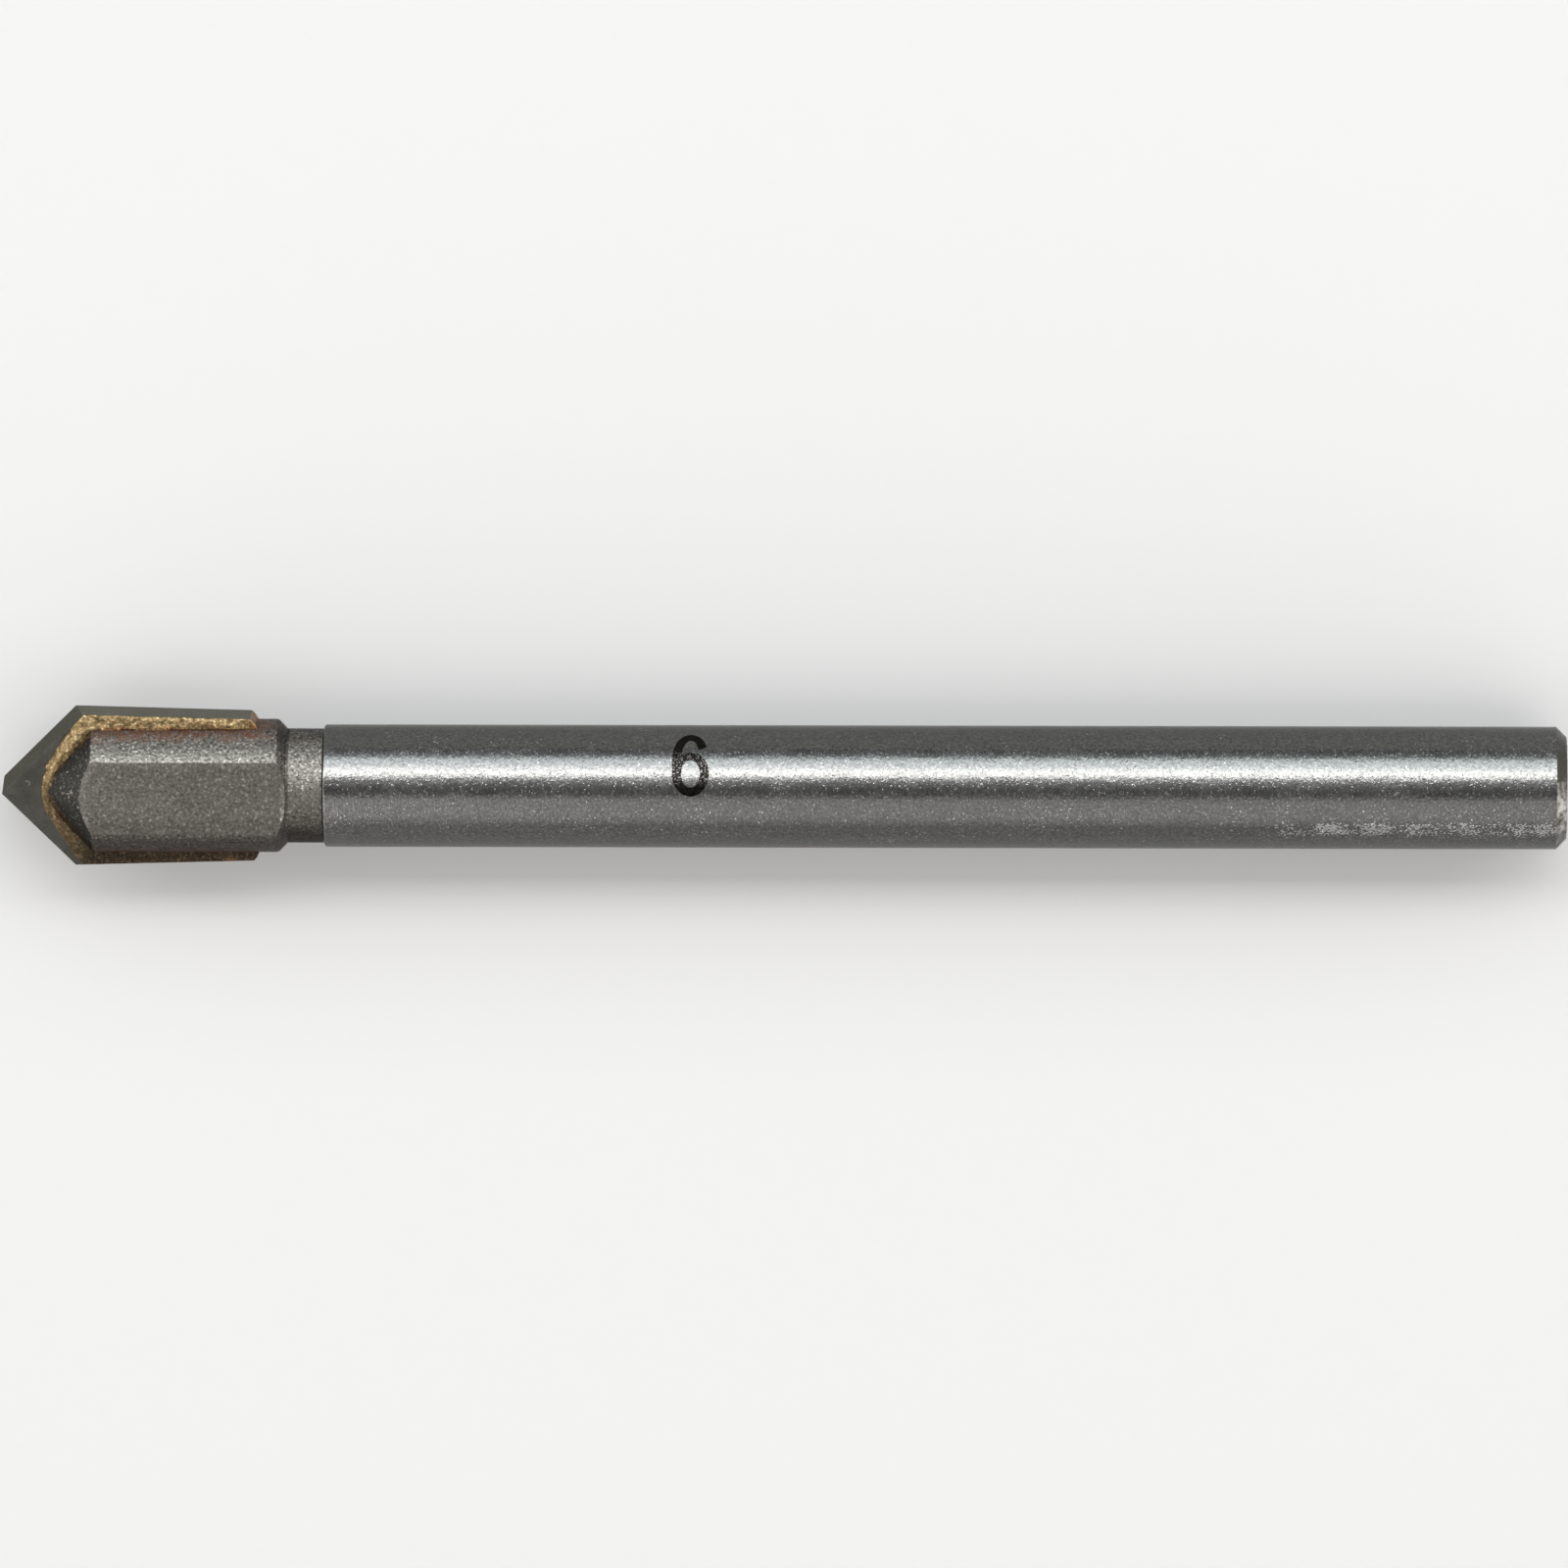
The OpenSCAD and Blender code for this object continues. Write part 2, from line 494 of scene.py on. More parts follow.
blastedFinish = {
    "coarse": (8.5, 2, 0.65),
    "fine": (16, 1, 0.5),
    "cloud": (0.8, 3, 0.55),
    "patches": (1.9, 4, 0.7),
    "mottleGrain": (4.5, 3, 0.65),
    "grains": [
        (0.3, (0.055, 0.05, 0.044)), (0.45, (0.158, 0.148, 0.133)),
        (0.6, (0.235, 0.222, 0.2)), (0.74, (0.62, 0.6, 0.565)),
    ],
    "flatFacing": (0.97, 0.99),
    "calm": 0.4,
    "calmTone": (0.158, 0.148, 0.133),
    # paler rims on the flats: partly rubbed wear, partly a painted edge highlight
    "rubAndHighlight": 0.2,
    "rubAndHighlightTone": (0.5, 0.476, 0.445),
    "rubFront": (0.4, 0.05),
    "rubSide": (1.1, 1.4, 0.0, 0.6),
    "rubGrain": (0.3, 0.6, 0.35, 1.0),
    "patchDepth": 1.9,
    "pastSlotShare": 0.65,
    "rust": [(0.3, (0.042, 0.016, 0.009)), (0.7, (0.15, 0.062, 0.034))],
    "rustMost": 0.92,
    "rustStep": (0.8, 0.28),
    "mottle": (0.36, 0.62, 0.58, 1.0),
    "noseStep": (0.05, 0.01),
    # colour of the painted shade on the nose cone
    "soot": (0.046, 0.046, 0.041),
    "noseShadeGrain": (0.5, 0.74, 0.93, 0.3),
    "smearStep": (0.94, 0.8),
    "smearPatch": 0.2,
    "smearClimb": (0.15, -0.42),  # rise of the smear per mm to +Y and to -Y
    # colour of the darkening low on the head, partly heat tint and partly painted shade, and of the
    # painted shade on the neck, in the corner and on the rear chamfer
    "burnAndShade": (0.03, 0.027, 0.023),
    "headHeatAndShade": (-0.6, -1.8, 0.0, 0.46),
    "headHeatAndShadePatch": 0.3,
    "neckStep": 0.05,
    "neckShade": (0.5, -1.4, 0.0, 0.74),
    "cornerBehind": 0.04,
    "cornerShadeLine": (0.1, 0.03, 0.0, 0.65),
    "chamferShade": (0.3, 0.6, 0.0, 0.5),
    "slant": (0.2, 0.5, 0.53),  # painted shade at a slant, as on the shank
    "slantTint": (0.6, 0.6, 0.6, 1),
    "rustShine": 0.15,
    "rough": (0.3, 0.7, 0.33, 0.4),
    "neckRough": 0.12,
    "rustRough": 0.25,
    "fineHeight": 0.3,
    "depthMm": 0.024,
}


def blastedSteel(h, s):
    # head and neck: sand blasted, brown grey, stained beside the braze, with painted shade dark on the
    # nose cone, low on the neck, between head and neck and on the rear chamfer
    finish, tree, shader, place = startFinish("blastedSteel")
    axes = axesOf(tree, place)
    facing = axesOf(tree, addNode(tree, "ShaderNodeNewGeometry").outputs["Normal"])
    coarse = grain(tree, place, *h["coarse"])
    fine = grain(tree, place, *h["fine"])
    cloud = grain(tree, place, *h["cloud"])
    patch = wobble(tree, grain(tree, place, *h["patches"]), h["patchDepth"])
    radius = lengthOf(tree, {"Y": axes["Y"], "Z": axes["Z"]})
    fromCone = calc(tree, "SUBTRACT", axes["X"], pointMm + s["noseSetback"], radius)
    headEnd = pointMm + s["headEnd"]
    off = calc(tree, "ABSOLUTE", axes["Z"])
    onFlat = spread(tree, calc(tree, "ABSOLUTE", facing["Z"]), *h["flatFacing"])
    nose = times(tree, spread(tree, fromCone, *h["noseStep"]), spread(tree, onFlat, 1.0, 0.0))
    neck = spread(tree, axes["X"], headEnd - h["neckStep"], headEnd + h["neckStep"])

    # blasted grains, calmer on the flats, and paler along their rims: partly rubbed wear, partly a
    # painted edge highlight
    calm = blend(tree, times(tree, onFlat, h["calm"]), ramp(tree, coarse, h["grains"]), h["calmTone"])
    rimSide = spread(tree, calc(tree, "ABSOLUTE", axes["Y"]), *h["rubSide"])
    rim = calc(tree, "MAXIMUM", spread(tree, fromCone, *h["rubFront"]), rimSide)
    rubAndHighlight = times(tree, rim, spread(tree, coarse, *h["rubGrain"]), onFlat, h["rubAndHighlight"])
    rubbedAndHighlit = blend(tree, rubAndHighlight, calm, h["rubAndHighlightTone"])

    # rust in patches beside the slot and past its end
    beside = calc(tree, "SUBTRACT", off, s["slotHalf"])
    pastSlot = calc(tree, "SUBTRACT", axes["X"], pointMm + s["slotEnd"])
    fromSlot = calc(tree, "MAXIMUM", beside, times(tree, pastSlot, h["pastSlotShare"]))
    mottle = spread(tree, grain(tree, place, *h["mottleGrain"]), *h["mottle"])
    rusty = spread(tree, calc(tree, "ADD", fromSlot, patch), *h["rustStep"])
    rusty = times(tree, rusty, mottle, h["rustMost"])
    stained = blend(tree, rusty, rubbedAndHighlit, ramp(tree, fine, h["rust"]))

    # painted shade on the nose cone, lighter on its coarse grains, and braze smeared over it beside the
    # plate
    shadedNose = blend(tree, times(tree, nose, spread(tree, coarse, *h["noseShadeGrain"])), stained, h["soot"])
    climb = calc(tree, "MAXIMUM", *[times(tree, axes["Y"], rise) for rise in h["smearClimb"]])
    over = calc(tree, "ADD", off, times(tree, patch, h["smearPatch"]))
    smear = spread(tree, calc(tree, "SUBTRACT", over, climb), *h["smearStep"])
    smeared = blend(tree, times(tree, nose, smear), shadedNose, brazeTone(tree, place, axes, brazeColours))

    # darker low on the head, partly heat tint and partly painted shade; painted shade low on the neck,
    # in the corner between head and neck and on the rear chamfer
    lowSide = calc(tree, "ADD", axes["Y"], times(tree, patch, h["headHeatAndShadePatch"]))
    fromCorner = calc(tree, "SUBTRACT", axes["X"], headEnd + h["cornerBehind"])
    shadeAndHeat = calc(
        tree, "MAXIMUM",
        spread(tree, lowSide, *h["headHeatAndShade"]),
        times(tree, neck, spread(tree, axes["Y"], *h["neckShade"])),
        spread(tree, calc(tree, "ABSOLUTE", fromCorner), *h["cornerShadeLine"]),
        spread(tree, facing["X"], *h["chamferShade"]),
    )
    darkened = blend(tree, shadeAndHeat, smeared, h["burnAndShade"])

    rustOffNose = times(tree, rusty, calc(tree, "SUBTRACT", 1.0, nose))
    dull = calc(tree, "ADD", times(tree, neck, h["neckRough"]), times(tree, rusty, h["rustRough"]))
    height = calc(tree, "ADD", coarse, times(tree, fine, h["fineHeight"]))
    # painted shade: the base colour darkens where the head is seen at a slant, as on the shank
    setSockets(tree, shader, {
        "Base Color": scaled(tree, darkened, paintedSlantShade(tree, *h["slant"])),
        "Metallic": spread(tree, rustOffNose, 0.0, 1.0, 1.0, 0.0),
        "Specular Tint": h["slantTint"],
        "Specular IOR Level": h["rustShine"],
        "Roughness": calc(tree, "ADD", dull, spread(tree, cloud, *h["rough"])),
        "Normal": bump(tree, height, h["depthMm"]),
    })
    return finish


steel = makeSteel(steelBody)
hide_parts("steel_shank")
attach(steel, "root")
print("steel body", len(steel.data.polygons), "faces")

# Carbide plate: a flat spear, a relief facet ground on each lip
carbidePlate = {
    "width": 6.0,
    "halfThick": tipHigh.z / mm,
    "lipAngle": 45,
    "lipRelief": 13,
    "backTaper": 1.5,
    "blankFront": -1.0,  # the blank starts ahead of the point, the lips are ground from it
    "end": (tipHigh.x - pointX) / mm,
    "edge": 0.018,
    "edgeSteps": 2,
    "flatWithin": 0.5,  # degrees between faces that count as one
    "cutWithin": 1e-8,
    "lipFacing": -0.3,  # faces turned further to -X than this are ground lips
}


def makeCarbide(c):
    half = c["width"] / 2
    thick = c["halfThick"]
    lip = math.radians(c["lipAngle"])
    relief = tangent(c["lipRelief"])
    taper = tangent(c["backTaper"])
    cornerAt = half / math.tan(lip) - thick * relief
    frontHalf = half + (cornerAt - c["blankFront"]) * taper
    endHalf = half + (cornerAt - c["end"]) * taper
    outline = [
        (c["blankFront"], frontHalf),
        (c["end"], endHalf),
        (c["end"], -endHalf),
        (c["blankFront"], -frontHalf),
    ]
    bm = bmesh.new()
    under = bm.faces.new([bm.verts.new((behind(x), y * mm, -thick * mm)) for x, y in outline])
    raiseFaces(bm, [under], 2 * thick * mm)
    tilt = math.atan(relief * math.sin(lip))
    for side in (1, -1):
        across = Vector((-math.sin(lip), side * math.cos(lip), 0))
        normal = across * math.cos(tilt) + Vector((0, 0, side * math.sin(tilt)))
        bmesh.ops.bisect_plane(
            bm, geom=allOf(bm), dist=c["cutWithin"],
            plane_co=(pointX, 0, 0), plane_no=normal, clear_outer=True,
        )
        bmesh.ops.edgeloop_fill(bm, edges=[e for e in bm.edges if e.is_boundary])
    bmesh.ops.remove_doubles(bm, verts=bm.verts, dist=samePoint)
    flatWithin = math.radians(c["flatWithin"])
    bmesh.ops.dissolve_limit(bm, angle_limit=flatWithin, verts=bm.verts, edges=bm.edges)
    bmesh.ops.recalc_face_normals(bm, faces=bm.faces)
    bmesh.ops.bevel(
        bm, geom=list(bm.edges), offset=c["edge"] * mm, offset_type="OFFSET",
        segments=c["edgeSteps"], profile=0.5, affect="EDGES", material=-1,
    )
    piece = newPiece("carbidePlate", meshFromBm(bm, "carbidePlate"))
    for name, bright in carbideFinish["brightness"].items():
        piece.data.materials.append(sinteredCarbide(name, bright, carbideFinish))
    for face in piece.data.polygons:
        face.material_index = 1 if face.normal.x < c["lipFacing"] else 0
    return piece


# The plate and its ground lips differ in brightness only
carbideFinish = {
    "fine": (10, 2, 0.6),
    "cloud": (0.9, 4, 0.6),
    "brightness": {
        "sinteredCarbide": {"dark": 0.073, "pale": 0.112, "slant": 0.9},
        "groundLip": {"dark": 0.039, "pale": 0.06, "slant": 0.8},
    },
    "darkCast": (1, 0.97, 0.84),
    "paleCast": (1, 0.97, 0.88),
    "slantCast": (1, 1, 0.9),
    "pit": (0.0312, 0.0305, 0.0266),
    "pitStep": (0.42, 0.26),
    "pitMost": 0.6,
    "nick": (0.3, 0.29, 0.26),
    "nickMost": 0.5,
    "nickBehind": 0.98,
    "nickAside": 0.24,
    "nickRadius": 0.1,
    "nickLine": (0.04, 0.01),
    "nickOpening": (-0.02, 0.05),
    "upperFace": (0.0, 0.5),
    "rough": (0.3, 0.7, 0.38, 0.5),
    "depthMm": 0.008,
}


def crescent(tree, place, c):
    # a small pale nick on the upper face, behind the point
    axes = axesOf(tree, place)
    along = calc(tree, "SUBTRACT", axes["X"], pointMm + c["nickBehind"])
    aside = calc(tree, "SUBTRACT", axes["Y"], c["nickAside"])
    fromRing = calc(tree, "SUBTRACT", lengthOf(tree, {"X": along, "Y": aside}), c["nickRadius"])
    ring = spread(tree, calc(tree, "ABSOLUTE", fromRing), *c["nickLine"])
    opening = spread(tree, calc(tree, "ADD", along, aside), *c["nickOpening"])
    return times(tree, ring, opening, spread(tree, axes["Z"], *c["upperFace"]))


def cast(bright, colour):
    return tuple(bright * part for part in colour)


def sinteredCarbide(name, bright, c):
    # dark grey with a slight olive cast, fine grain, a few pits
    finish, tree, shader, place = startFinish(name)
    fine = grain(tree, place, *c["fine"])
    cloud = grain(tree, place, *c["cloud"])
    tones = [(0.3, cast(bright["dark"], c["darkCast"])), (0.7, cast(bright["pale"], c["paleCast"]))]
    pits = times(tree, spread(tree, fine, *c["pitStep"]), c["pitMost"])
    pitted = blend(tree, pits, ramp(tree, cloud, tones), c["pit"])
    nick = times(tree, crescent(tree, place, c), c["nickMost"])
    setSockets(tree, shader, {
        "Base Color": blend(tree, nick, pitted, c["nick"]),
        "Metallic": 1,
        "Specular Tint": (*cast(bright["slant"], c["slantCast"]), 1),
        "Roughness": spread(tree, fine, *c["rough"]),
        "Normal": bump(tree, fine, c["depthMm"]),
    })
    return finish


carbide = makeCarbide(carbidePlate)
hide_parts("carbide_tip")
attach(carbide, "root")
print("carbide plate", len(carbide.data.polygons), "faces")

# Braze: a grainy bead round the plate, its shell from the CAD bead, lumpy, then cut by steel and plate
brazeBead = {
    "cell": 0.06,
    "lumps": [(1.1, 0.05), (3.2, 0.035), (8.0, 0.02)],  # how many a mm, and their height
    "noseEnd": (3.2, 3.8),  # behind the point
    "diagonalRise": 0.8,
    "diagonalSide": (0.3, 1.2),
    "noseDip": 0.5,
    "dipSide": (0.2, 0.7),
    "dipAside": 0.1,
    "thinSide": 0.75,
    "thinFrom": (0.4, 1.8),
    "rearDrop": 0.5,
    "rearRun": (9.1, 9.8),  # behind the point
    "diagonalReach": 0.12,
    "reachSide": (0.2, 0.9),
    "outerReach": 0.1,
    "outerSide": (2.2, 2.7),
    "edgeGap": 0.01,
    "lipGap": 0.06,
    "smoothAngle": 40,
}


def share(value, low, high):
    return min(max((value - low) / (high - low), 0), 1)


def runBead(at, b, c):
    # melted out to the plate's edge, piled up on one diagonal, thin round the nose
    plateTop = c["halfThick"]
    plateHalf = c["width"] / 2
    under = -1 if at.z < 0 else 1
    side = at.y * under
    fromPoint = at.x - pointMm
    onNose = 1 - share(fromPoint, *b["noseEnd"])
    dip = b["noseDip"] * (1 - share(abs(side + b["dipAside"]), *b["dipSide"]))
    piled = b["diagonalRise"] * share(side, *b["diagonalSide"]) - dip
    thin = 1 - b["thinSide"] * share(-side, *b["thinFrom"])
    ending = 1 - b["rearDrop"] * share(fromPoint, *b["rearRun"])
    high = abs(at.z) - plateTop
    if high > 0:
        at.z = under * (plateTop + high * (1 + piled * onNose) * thin * ending)
    forward = b["diagonalReach"] * share(abs(at.y), *b["reachSide"]) * onNose
    at.x -= forward
    wide = abs(at.y) + forward + b["outerReach"] * share(abs(at.y), *b["outerSide"])
    plateEdge = plateHalf - tangent(c["backTaper"]) * max(fromPoint - plateHalf, 0)
    setBack = math.copysign(plateTop * tangent(c["lipRelief"]), side)
    lipEdge = fromPoint - forward - setBack
    at.y = math.copysign(min(wide, plateEdge - b["edgeGap"], max(lipEdge - b["lipGap"], 0)), at.y)
    return at


def makeBraze(b, others):
    bm = bmesh.new()
    bm.from_mesh(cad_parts["braze_joint"].data)
    bmesh.ops.remove_doubles(bm, verts=bm.verts, dist=samePoint)
    shell = set(bmesh.ops.convex_hull(bm, input=bm.verts)["geom"])
    bmesh.ops.delete(bm, geom=[f for f in bm.faces if f not in shell], context="FACES_ONLY")
    bmesh.ops.delete(bm, geom=[e for e in bm.edges if not e.link_faces], context="EDGES")
    bmesh.ops.delete(bm, geom=[v for v in bm.verts if not v.link_faces], context="VERTS")
    bmesh.ops.recalc_face_normals(bm, faces=bm.faces)
    piece = newPiece("brazeBead", meshFromBm(bm, "brazeBead"))
    fill = piece.modifiers.new("even", "REMESH")
    fill.mode = "VOXEL"
    fill.voxel_size = b["cell"] * mm
    bakeModifiers(piece)
    outwards = [v.normal.copy() for v in piece.data.vertices]
    for v, normal in zip(piece.data.vertices, outwards):
        at = v.co / mm
        rise = sum(depth * noise.noise(at * often) for often, depth in b["lumps"])
        v.co = runBead(at + normal * rise, b, carbidePlate) * mm
    combine(piece, others, "DIFFERENCE", "MANIFOLD")
    piece.data.materials.clear()
    piece.data.materials.append(meltedBraze(meltedFinish, b))
    smoothShade(piece, b["smoothAngle"])
    return piece


meltedFinish = {
    "coarse": (7, 2, 0.65),
    "fine": (15, 1, 0.5),
    "cloud": (1.3, 3, 0.6),
    "red": [(0.3, (0.0938, 0.0438, 0.0219)), (0.7, (0.312, 0.156, 0.0719))],
    "middleHeight": 0.82,  # the gold strip's middle line
    "pileHeight": 0.14,  # and how far it climbs where the bead is piled up
    "pileWiden": 0.8,
    "waviness": 0.25,
    "redEdge": (0.06, 0.14, 0.0, 0.75),
    "redRear": (pointMm + 9.75, pointMm + 10.25, 0.0, 0.85),
    "redSide": (-1.0, 1.0),
    "metallic": 0.95,
    "rough": (0.3, 0.7, 0.34, 0.5),
    "fineHeight": 0.4,
    "depthMm": 0.02,
}


def meltedBraze(m, b):
    # red brown at both edges of the bead and at its rear end
    finish, tree, shader, place = startFinish("meltedBraze")
    axes = axesOf(tree, place)
    coarse = grain(tree, place, *m["coarse"])
    fine = grain(tree, place, *m["fine"])
    cloud = grain(tree, place, *m["cloud"])
    off = calc(tree, "ABSOLUTE", axes["Z"])
    side = times(tree, axes["Y"], calc(tree, "SIGN", axes["Z"]))
    noseStart, noseEnd = b["noseEnd"]
    onNose = spread(tree, axes["X"], pointMm + noseEnd, pointMm + noseStart)
    piled = times(tree, spread(tree, side, *b["diagonalSide"], 0.0, m["pileHeight"]), onNose)
    fromMiddle = calc(tree, "ABSOLUTE", calc(tree, "SUBTRACT", off, m["middleHeight"], piled))
    across = calc(tree, "SUBTRACT", fromMiddle, times(tree, piled, m["pileWiden"]))
    wavy = calc(tree, "ADD", across, wobble(tree, cloud, m["waviness"]))
    rear = spread(tree, calc(tree, "ADD", axes["X"], cloud), *m["redRear"])
    redRear = times(tree, rear, spread(tree, axes["Y"], *m["redSide"]))
    edge = calc(tree, "MAXIMUM", spread(tree, wavy, *m["redEdge"]), redRear)
    gold = brazeTone(tree, place, axes, brazeColours)
    height = calc(tree, "ADD", coarse, times(tree, fine, m["fineHeight"]))
    setSockets(tree, shader, {
        "Base Color": blend(tree, edge, gold, ramp(tree, fine, m["red"])),
        "Metallic": m["metallic"],
        "Roughness": spread(tree, fine, *m["rough"]),
        "Normal": bump(tree, height, m["depthMm"]),
    })
    return finish


braze = makeBraze(brazeBead, [steel, carbide])
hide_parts("braze_joint")
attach(braze, "root")
print("braze bead", len(braze.data.polygons), "faces")

# Size digit 6 etched on the shank: a ring and a hooked stem, joined, wrapped round it as a thin solid
sizeMark = {
    "height": 2.73,
    "width": 1.43,
    "stroke": 0.35,
    "bowl": 0.65,  # share of the height
    "stemFrom": 30.5,  # degrees from +X
    "stemTo": 205,
    "centre": 26.7,  # behind the point
    "angle": 37.4,  # degrees from the zenith towards +Y
    "above": 0.006,
    "below": 0.02,
    "blank": 1.0,  # thickness before it is wrapped round the shank
    "stemProud": 0.02,  # the stem is taller than the ring, so no faces share a plane
    "cell": 0.06,
    "cutWithin": 1e-6,
    "steps": 64,
}


def strokeAlong(k, middle, radii, first, last, proud):
    # band of the stroke's width along an ellipse, closed if it goes all round
    half = k["stroke"] / 2
    centre = Vector((*middle, 0))
    bm = bmesh.new()
    inner = bm.verts.new(centre + Vector((radii[0] - half, 0, 0)))
    outer = bm.verts.new(centre + Vector((radii[0] + half, 0, 0)))
    bm.edges.new((inner, outer))
    startTurn = Matrix.Rotation(math.radians(first), 3, "Z")
    bmesh.ops.rotate(bm, cent=centre, matrix=startTurn, verts=bm.verts)
    bmesh.ops.spin(
        bm, geom=allOf(bm), cent=centre, axis=(0, 0, 1), angle=math.radians(last - first),
        steps=k["steps"], use_merge=last - first >= 360,
    )
    for v in bm.verts:
        away = v.co - centre
        outward = away.length - radii[0]
        turn = math.atan2(away.y, away.x)
        reach = (radii[0] + outward, radii[1] + outward)
        v.co = centre + Vector((reach[0] * math.cos(turn), reach[1] * math.sin(turn), -proud))
    bmesh.ops.recalc_face_normals(bm, faces=bm.faces)
    raiseFaces(bm, list(bm.faces), k["blank"] + 2 * proud)
    bmesh.ops.recalc_face_normals(bm, faces=bm.faces)
    return newPiece("stroke", meshFromBm(bm, "stroke"))


def makeMark(k, radius):
    side = (k["width"] - k["stroke"]) / 2
    tall = (k["height"] - k["stroke"]) / 2
    bowl = (k["height"] * k["bowl"] - k["stroke"]) / 2
    ring = strokeAlong(k, (0, bowl - tall), (side, bowl), 0, 360, 0)
    stem = strokeAlong(k, (0, 0), (side, tall), k["stemFrom"], k["stemTo"], k["stemProud"])
    combine(ring, [stem], "UNION")
    dropPiece(stem)
    bm = bmesh.new()
    bm.from_mesh(ring.data)
    dropPiece(ring)
    rows = int(k["height"] / k["cell"])
    for row in range(1, rows):
        bmesh.ops.bisect_plane(
            bm, geom=allOf(bm), dist=k["cutWithin"],
            plane_co=(0, k["height"] * (row / rows - 0.5), 0), plane_no=(0, 1, 0),
        )
    for v in bm.verts:
        turn = math.radians(90 - k["angle"]) - v.co.y / radius
        reach = (radius + (k["above"] if v.co.z > k["blank"] / 2 else -k["below"])) * mm
        v.co = Vector((behind(k["centre"] + v.co.x), reach * math.cos(turn), reach * math.sin(turn)))
    closeUp(bm)
    piece = newPiece("sizeMark", meshFromBm(bm, "sizeMark"))
    piece.data.materials.append(laserEtch(etchFinish))
    return piece


etchFinish = {
    "fine": (10, 2, 0.6),
    "bareGrain": (15, 1, 0.5),
    "soot": [(0.3, (0.0065, 0.006, 0.005)), (0.7, (0.018, 0.016, 0.014))],
    "bareGlints": (0.24, 0.226, 0.222),
    "bareStep": (0.5, 0.74),
    "glintStripBelow": (1.9, 1.55),  # sides of the strip where the shank's highlight falls, mm along Y: painted glints only there
    "glintStripAbove": (0.5, 0.8),
    "slantTint": (0.45, 0.45, 0.45, 1),
    "rough": (0.3, 0.7, 0.3, 0.42),
    "depthMm": 0.012,
}


def laserEtch(e):
    # burnt brown black, still a little metallic, a few bare steel grains left in it, shown only where
    # the shank's highlight falls, as painted glints
    finish, tree, shader, place = startFinish("laserEtch")
    axes = axesOf(tree, place)
    fine = grain(tree, place, *e["fine"])
    # painted glints: bare grains only in the strip where the shank's highlight falls
    bareGlints = times(
        tree,
        spread(tree, grain(tree, place, *e["bareGrain"]), *e["bareStep"]),
        spread(tree, axes["Y"], *e["glintStripAbove"]),
        spread(tree, axes["Y"], *e["glintStripBelow"]),
    )
    setSockets(tree, shader, {
        "Base Color": blend(tree, bareGlints, ramp(tree, fine, e["soot"]), e["bareGlints"]),
        "Metallic": 1,
        "Specular Tint": e["slantTint"],
        "Roughness": spread(tree, fine, *e["rough"]),
        "Normal": bump(tree, fine, e["depthMm"]),
    })
    return finish


mark = makeMark(sizeMark, steelBody["shankRadius"])
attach(mark, "root")
print("size mark", len(mark.data.polygons), "faces")

# Camera: almost straight above, leaning past the zenith, the point at the left
view = {
    "distance": 650,  # lengths in mm, turns in degrees
    "lean": 14.1,
    "yaw": 1.35,
    "turn": 0.12,
    "frame": 60.67,  # width of the picture at the bit
    "centre": 30.26,  # behind the point
    "rise": 0.095,
    "sensor": 36,
    "clipNear": 0.01,  # metres
    "clipFar": 20,
}


def makeCamera(v):
    data = bpy.data.cameras.new("camera")
    data.sensor_width = v["sensor"]
    data.sensor_fit = "HORIZONTAL"
    data.lens = v["sensor"] * v["distance"] / v["frame"]
    data.clip_start = v["clipNear"]
    data.clip_end = v["clipFar"]
    camera = bpy.data.objects.new("camera", data)
    scene.collection.objects.link(camera)
    turnToView = (
        Matrix.Rotation(-math.radians(v["lean"]), 4, "X")
        @ Matrix.Rotation(math.radians(v["yaw"]), 4, "Y")
        @ Matrix.Rotation(math.radians(v["turn"]), 4, "Z")
    )
    up = turnToView @ Vector((0, 1, 0))
    back = turnToView @ Vector((0, 0, 1))
    target = Vector((behind(v["centre"]), 0, 0)) + up * v["rise"] * mm
    camera.matrix_world = Matrix.Translation(target + back * v["distance"] * mm) @ turnToView
    scene.camera = camera
    print("camera, lens", round(data.lens, 1), "mm")


makeCamera(view)

# Lamps: strips along the shank, angles from the zenith towards +Y, running on past both ends
lampStrips = {
    "key": {"from": 31.6, "to": 47, "bright": 5.4, "endBright": 5.4, "colour": (1, 0.995, 0.98)},
    "shoulder": {"from": 47, "to": 68.5, "bright": 2.55, "endBright": 2.55, "colour": (0.9, 0.98, 1)},
    "rim": {"from": 68.5, "to": 86, "bright": 0.1, "endBright": 0.8, "colour": (0.9, 0.98, 1)},
    "fringe": {"from": 13, "to": 31, "bright": 0.24, "endBright": 0.3, "colour": (1, 0.99, 0.99)},
    "fill": {"from": -60, "to": -7, "bright": 0.55, "endBright": 1.2, "colour": (1, 0.975, 0.94)},
    "lowFill": {"from": -90, "to": -60, "bright": 0.7, "endBright": 2.2, "colour": (1, 0.97, 0.92)},
}
lampRig = {"away": 0.6, "half": 0.2, "reach": 1.2}  # metres from the bit, and along X from its middle

# A panel beyond each end, seen in the steel when it is looked at along its length
endPanel = {"away": 1.25, "wide": 1.6, "tall": 1.2, "bright": 1.6, "colour": (1, 0.985, 0.96)}


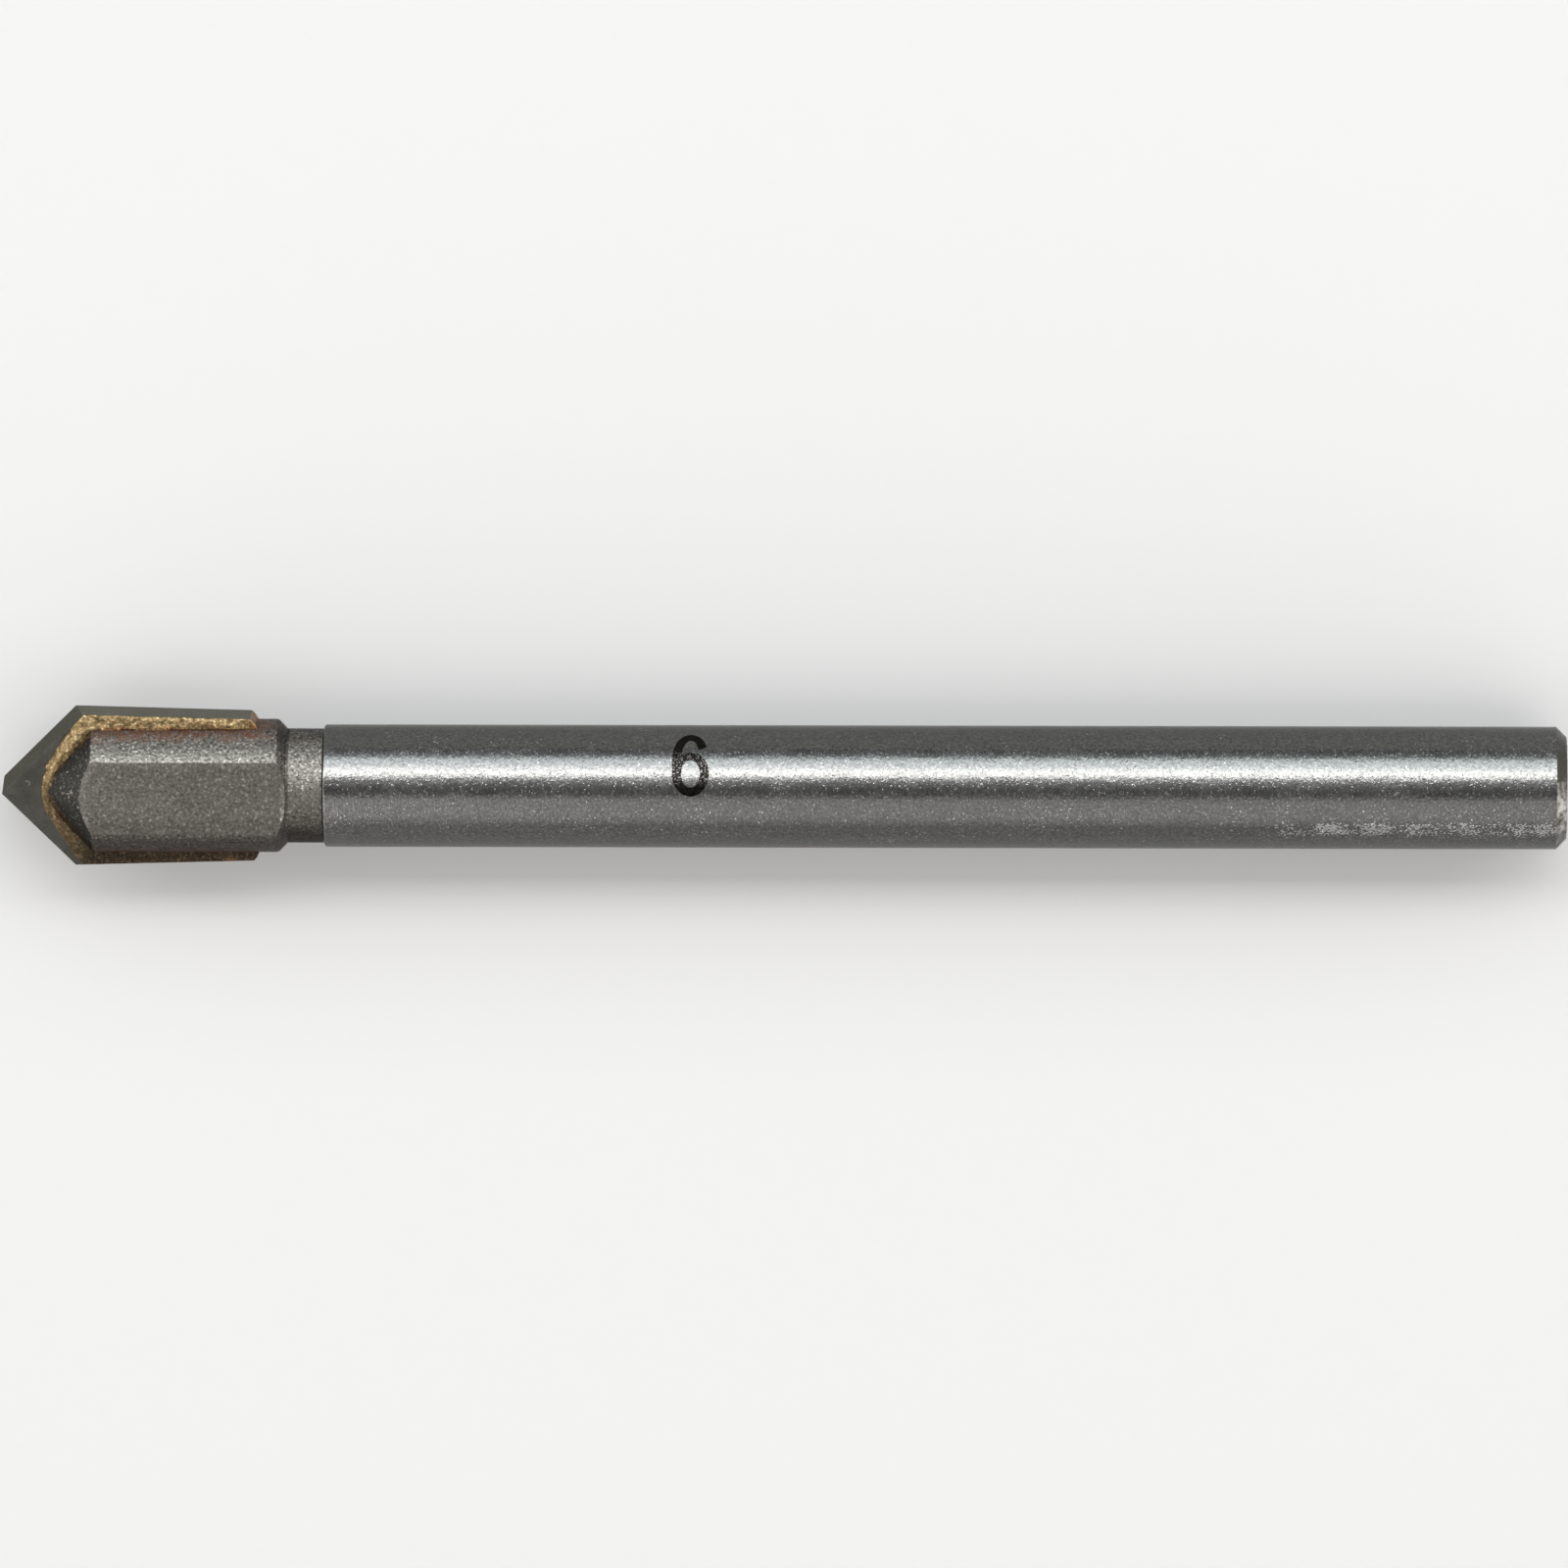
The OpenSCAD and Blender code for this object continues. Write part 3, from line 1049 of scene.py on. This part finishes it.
def areaLamp(name, size, bright, colour, place, turn):
    # brightness is that of the lamp's own face, whatever its size
    data = bpy.data.lights.new(name, "AREA")
    data.shape = "RECTANGLE"
    data.size, data.size_y = size
    data.energy = bright * math.pi * size[0] * size[1]
    data.color = colour
    lamp = bpy.data.objects.new(name, data)
    scene.collection.objects.link(lamp)
    lamp.location = place
    lamp.rotation_euler = turn


def makeStrip(name, strip, first, last, bright):
    middle = math.radians((strip["from"] + strip["to"]) / 2)
    away = lampRig["away"]
    wide = 2 * away * tangent((strip["to"] - strip["from"]) / 2)
    place = (pointX / 2 + (first + last) / 2, away * math.sin(middle), away * math.cos(middle))
    areaLamp(name, (last - first, wide), bright, strip["colour"], place, (-middle, 0, 0))


def makePanel(name, side, p):
    place = (pointX / 2 + side * p["away"], 0, p["tall"] / 2)
    areaLamp(name, (p["tall"], p["wide"]), p["bright"], p["colour"], place, (0, side * math.pi / 2, 0))


for name, strip in lampStrips.items():
    half, reach = lampRig["half"], lampRig["reach"]
    makeStrip(name, strip, -half, half, strip["bright"])
    makeStrip(name + "PointEnd", strip, -reach, -half, strip["endBright"])
    makeStrip(name + "ShankEnd", strip, half, reach, strip["endBright"])
makePanel("pointPanel", -1, endPanel)
makePanel("shankPanel", 1, endPanel)
print("lamps", len(bpy.data.lights))

# An even pale room round it all
studio = {"Color": (1, 1, 1, 1), "Strength": 0.175}
world = bpy.data.worlds.new("studio")
scene.world = world
world.use_nodes = True
setSockets(world.node_tree, world.node_tree.nodes["Background"], studio)

# Floor: plain and pale, touching the shank
floorSheet = {"half": 1.0, "tint": (0.54, 0.54, 0.54, 1), "rough": 0.9, "shine": 0.1}


def makeFloor(f):
    bm = bmesh.new()
    bmesh.ops.create_grid(bm, x_segments=1, y_segments=1, size=f["half"])
    shankBottom = -steelBody["shankRadius"] * mm
    bmesh.ops.translate(bm, vec=(pointX / 2, 0, shankBottom), verts=bm.verts)
    sheet = newPiece("floor", meshFromBm(bm, "floor"))
    finish = bpy.data.materials.new("paleFloor")
    finish.use_nodes = True
    setSockets(finish.node_tree, finish.node_tree.nodes["Principled BSDF"], {
        "Base Color": f["tint"],
        "Roughness": f["rough"],
        "Specular IOR Level": f["shine"],
    })
    sheet.data.materials.append(finish)
    return sheet


floor = makeFloor(floorSheet)
print("floor", round(floor.dimensions.x, 2), "m wide")
